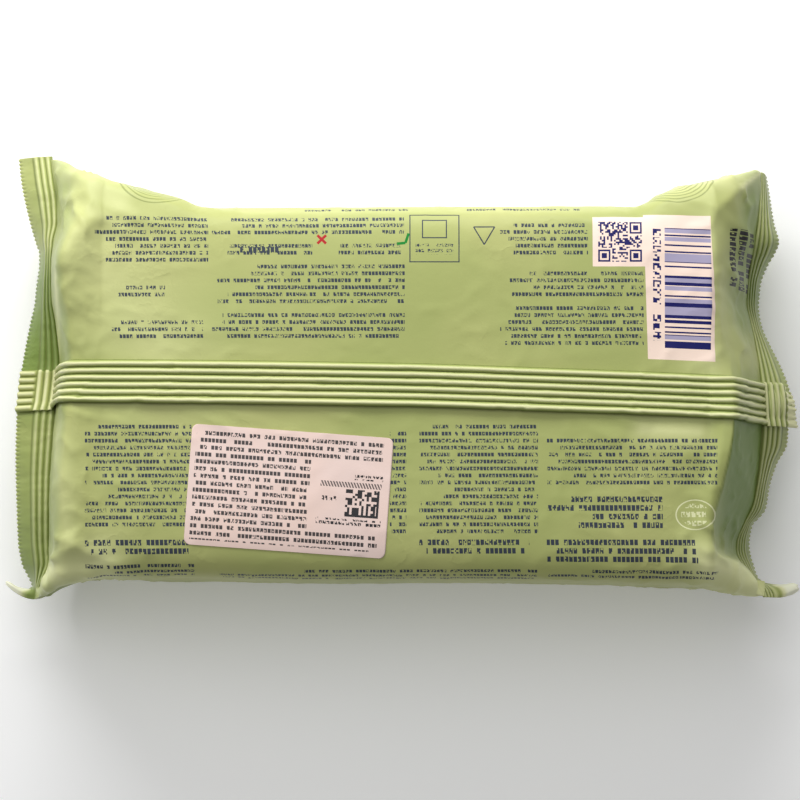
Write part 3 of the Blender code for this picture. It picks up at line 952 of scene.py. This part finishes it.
def printed(tree, ground, u, v):
    """The back's print over the film's ground colour."""
    # Each line of print ends where it runs out of words, so one side of a column is ragged.
    small = columns(tree, u, v, SMALL_PRINT, SMALL_PITCH, 0.3)
    bold = columns(tree, u, v, BOLD_PRINT, BOLD_PITCH, 0.4)
    text = small * greeked(tree, u, v, SMALL_PITCH, 0.86, 0.55, 0.86)
    text = text | (bold * greeked(tree, u, v, BOLD_PITCH, 1.12, 0.66, 0.98, 5.0))
    lean = v + u * BAR_LEAN - BAR_DROP
    panel = box(u, v, *CODE_PANEL) | box(u + v * PANEL_LEAN, lean, *BAR_PANEL)
    barred = box(u, lean, *BARS) * bars(tree, lean)
    pale_bars = box(u, lean, *BARS) * thin_bars(tree, lean)
    digits = box(u, lean, *DIGITS) * greeked(tree, lean, u - 64.4, 3.0, 2.2, 0.75, 0.72, 8.0)
    ink = text | outline(u, v, *PLAIN_BOX, 0.28) | triangle(u, v)
    box_marks = box(u, v, *BOX_MARKS) * greeked(tree, u, v, 1.4, 0.8, 0.6, 0.6, 13.0)
    ink = ink | box_marks | outline(u, v, *INNER_FRAME, 0.3)
    round_badge = oval(u, v, BADGE_CENTRE, BADGE_HALF)
    badge_line = round_badge.between(0.86, 1.0)
    badge_text = (round_badge < 0.55) * greeked(tree, u, v, 2.3, 1.3, 0.6, 0.75, 17.0)
    stamp = box(u, v, *STAMP) * greeked(tree, v, u - STAMP[0], 2.45, 1.25, 0.7, 1.06, 23.0)
    shade = mix(tree, ink * 0.93, ground, INK)
    shade = mix(tree, badge_line | (badge_text * 0.9), shade, LINE_PALE)
    shade = mix(tree, panel, shade, PANEL)
    shade = mix(tree, code_marks(tree, u, v) | barred | digits, shade, INK_BLUE)
    shade = mix(tree, pale_bars, shade, LAVENDER)
    shade = mix(tree, tick_mark(u, v), shade, TICK_GREEN)
    shade = mix(tree, cross_mark(u, v), shade, CROSS_RED)
    shade = mix(tree, stamp, shade, BLACK)
    return mix(tree, side_pattern(u, v) * 0.55, shade, GROOVE_SHADE_AND_PRINT_GREEN)


def film_material():
    made, tree, shader = new_material("printed_film")
    ground = film_base(tree, shader, 0.3)
    # Painted shade: the film's steep end faces are painted a darker green.
    ground = mix(tree, stored(tree, "painted_shade") * 0.85, ground, PAINTED_SHADE_GREEN)
    # Painted light: chosen faces and crease crests are painted a paler green.
    ground = mix(tree, stored(tree, "painted_light"), ground, FILM_PAINTED_LIGHT)
    u, v = film_place(tree)
    tree.links.new(printed(tree, ground, u, v), shader.inputs["Base Color"])
    return made


def stored(tree, name):
    """A value kept at each point of the mesh."""
    made = tree.nodes.new("ShaderNodeAttribute")
    made.attribute_name = name
    return Field(tree, made.outputs["Fac"])


def seal_material():
    """The same film where it is welded, painted paler on its crests as a highlight and darker in its grooves
    as shade.
    """
    made, tree, shader = new_material("crimped_film")
    ground = film_base(tree, shader, 0.26)
    crest = stored(tree, "ridge")
    ground = mix(tree, noise_field(tree, 28.0), SEAL_GREEN, ground)
    painted_shade = stored(tree, "painted_shade")
    # Painted shade: the seal's green is darkened where it dips beside the block.
    ground = mix(tree, painted_shade * 0.8, ground, PAINTED_SHADE_GREEN)
    # Painted shade in the grooves and a painted highlight on the crests, both from the ridge value.
    shade = mix(tree, (crest * 1.6).node("MINIMUM", 1.0), GROOVE_SHADE_AND_PRINT_GREEN, ground)
    shade = mix(tree, (crest - 0.64) * 2.6 * (painted_shade * 0.75).flipped(), shade, PAINTED_CREST_HIGHLIGHT)
    shade = mix(tree, (crest - 1.1) * 2.5, shade, FLAP_PALE)
    tree.links.new(shade, shader.inputs["Base Color"])
    return made


# The sticker's print, as boxes in millimetres from its middle.
STICKER_TEXT = [(-24.4, 23.4, 8.6, 14.0), (-24.4, 5.2, -9.4, 8.8), (-24.4, 23.4, -14.0, -9.4)]
STICKER_CODES = [(16.6, 24.0, 4.0, 5.4), (7.4, 24.0, -7.6, -6.0), (8.6, 13.0, -1.6, -0.2)]
STICKER_HATCH = (8.0, 23.6, 2.0, 3.4)
STICKER_MATRIX = (14.6, 23.2, -5.4, 1.6)
MATRIX_MODULE = 0.6


def matrix_marks(tree, u, v):
    """A square of chance modules with two solid edges, which holds no data."""
    left, right, low, high = STICKER_MATRIX
    chances = modules(tree, u - left, v - low, MATRIX_MODULE, 41.0)
    low_edge = box(u, v, left, right, low, low + MATRIX_MODULE)
    right_edge = box(u, v, right - MATRIX_MODULE, right, low, high)
    return box(u, v, *STICKER_MATRIX) * (chances | low_edge | right_edge)


def sticker_material():
    made, tree, shader = new_material("label_paper")
    u, v = film_place(tree)
    small = union([box(u, v, *place) for place in STICKER_TEXT])
    small = small * greeked(tree, u, v, 1.83, 0.95, 0.56, 1.0, 31.0)
    codes = union([box(u, v, *place) for place in STICKER_CODES])
    codes = codes * greeked(tree, u, v + 0.1, 1.6, 1.0, 0.8, 0.75, 37.0)
    hatch = box(u, v, *STICKER_HATCH) * ((u + v * 0.5) / 0.75).share().between(0.0, 0.55)
    ink = (small * 0.95) | codes | (hatch * 0.85) | matrix_marks(tree, u, v)
    mottled = mix(tree, noise_field(tree, 60.0), PAPER, PAPER_WARM)
    tree.links.new(mix(tree, ink, mottled, BLACK), shader.inputs["Base Color"])
    fibre = noise_field(tree, 1400.0, 3.0)
    tree.links.new((fibre * 0.12 + 0.38).socket, shader.inputs["Roughness"])
    tree.links.new(bump(tree, fibre, 0.00003, 0.4), shader.inputs["Normal"])
    return made


def reseal_material():
    made, tree, shader = new_material("reseal_label_film")
    u, v = film_place(tree)
    shape = oval(u, v, (-4.0, 0.0), (42.0, 21.0))
    cut = shape.between(0.985, 1.015)
    ground = mix(tree, noise_field(tree, 40.0), RESEAL_PALE, RESEAL_GREEN)
    inner = mix(tree, shape < 0.985, ground, RESEAL_INNER)
    tree.links.new(mix(tree, cut * 0.8, inner, DIE_CUT), shader.inputs["Base Color"])
    grain = noise_field(tree, 700.0, 3.0)
    tree.links.new((grain * 0.1 + 0.22).socket, shader.inputs["Roughness"])
    tree.links.new(bump(tree, grain, 0.00003, 0.5), shader.inputs["Normal"])
    return made


# ---------------------------------------------------------------- the studio

VIEW_WIDTH = 205.6 * MM
CAMERA_TARGET = (0, -6.3 * MM, 38 * MM)
CAMERA_DISTANCE = 1.6
CAMERA_ELEVATION = np.radians(87)
SENSOR = 36.0
# Each light's place, target, size and power.
LIGHTS = {
    "key": ((-0.09, 0.36, 0.25), (-0.01, 0.0, 0.03), (0.5, 0.16), 2.2),
    "top": ((-0.3, 0.5, 1.3), (0, 0, 0), (1.2, 1.2), 7.2),
    "side": ((-0.5, 0.12, 0.2), (0, 0, 0.02), (0.12, 0.5), 0.15),
}
WORLD_STRENGTH = 0.22
FLOOR_HALF = 3
FLOOR_GREY = 0.92
FLOOR_GLOW = 0.16


def make_camera():
    camera = bpy.data.objects.new("camera", bpy.data.cameras.new("camera"))
    bpy.context.scene.collection.objects.link(camera)
    target = Vector(CAMERA_TARGET)
    way = Vector((0, -np.cos(CAMERA_ELEVATION), np.sin(CAMERA_ELEVATION)))
    camera.location = target + way * CAMERA_DISTANCE
    camera.rotation_euler = (np.pi / 2 - CAMERA_ELEVATION, 0, 0)
    camera.data.sensor_width = SENSOR
    camera.data.lens = SENSOR * CAMERA_DISTANCE / VIEW_WIDTH
    camera.data.clip_start = 0.01
    bpy.context.scene.camera = camera


def area_light(name, place, target, size, power):
    light = bpy.data.lights.new(name, "AREA")
    light.shape = "RECTANGLE"
    light.size, light.size_y = size
    light.energy = power
    obj = bpy.data.objects.new(name, light)
    obj.location = place
    obj.rotation_euler = (Vector(target) - Vector(place)).to_track_quat("-Z", "Y").to_euler()
    bpy.context.scene.collection.objects.link(obj)


def make_studio():
    for name, facts in LIGHTS.items():
        area_light(name, *facts)
    world = bpy.data.worlds.new("studio")
    world.use_nodes = True
    world.node_tree.nodes["Background"].inputs["Color"].default_value = (1, 1, 1, 1)
    world.node_tree.nodes["Background"].inputs["Strength"].default_value = WORLD_STRENGTH
    bpy.context.scene.world = world
    bpy.context.scene.view_settings.view_transform = "Standard"
    corners = [(x * FLOOR_HALF, y * FLOOR_HALF, 0) for x, y in ((-1, -1), (1, -1), (1, 1), (-1, 1))]
    floor = mesh_object("floor", corners, [(0, 1, 2, 3)])
    made, _, shader = new_material("pale_floor")
    shader.inputs["Base Color"].default_value = (FLOOR_GREY, FLOOR_GREY, FLOOR_GREY, 1)
    shader.inputs["Emission Color"].default_value = (1, 1, 1, 1)
    shader.inputs["Emission Strength"].default_value = FLOOR_GLOW
    shader.inputs["Roughness"].default_value = 0.9
    floor.data.materials.append(made)


# ---------------------------------------------------------------- the pack

FILM_SHARP_ANGLE = np.radians(80)


def apply_modifiers(obj):
    graph = bpy.context.evaluated_depsgraph_get()
    solid = bpy.data.meshes.new_from_object(obj.evaluated_get(graph), depsgraph=graph)
    obj.modifiers.clear()
    obj.data = solid
    obj.data.shade_smooth()


def placed(obj, finish, node):
    """Gives a finished piece its material and fixes it to the pack, in place of a CAD node."""
    apply_modifiers(obj)
    obj.data.materials.clear()
    obj.data.materials.append(finish)
    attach(obj, "root")
    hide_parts(node)


def main():
    make_camera()
    make_studio()
    film, points = make_film()
    printed_film, crimped = film_material(), seal_material()
    sticker = make_sticker(film)
    placed(film, printed_film, "sealed_pack")
    film.data.set_sharp_from_angle(angle=FILM_SHARP_ANGLE)
    for piece in (make_end_seal("left_end_seal", -1), make_end_seal("right_end_seal", 1), make_fin(points)):
        placed(piece, crimped, "sealed_pack")
    placed(sticker, sticker_material(), "paper_sticker")
    reseal = reseal_material()
    for piece in make_reseal_label():
        placed(piece, reseal, "reseal_label")


main()
bpy.context.view_layer.update()
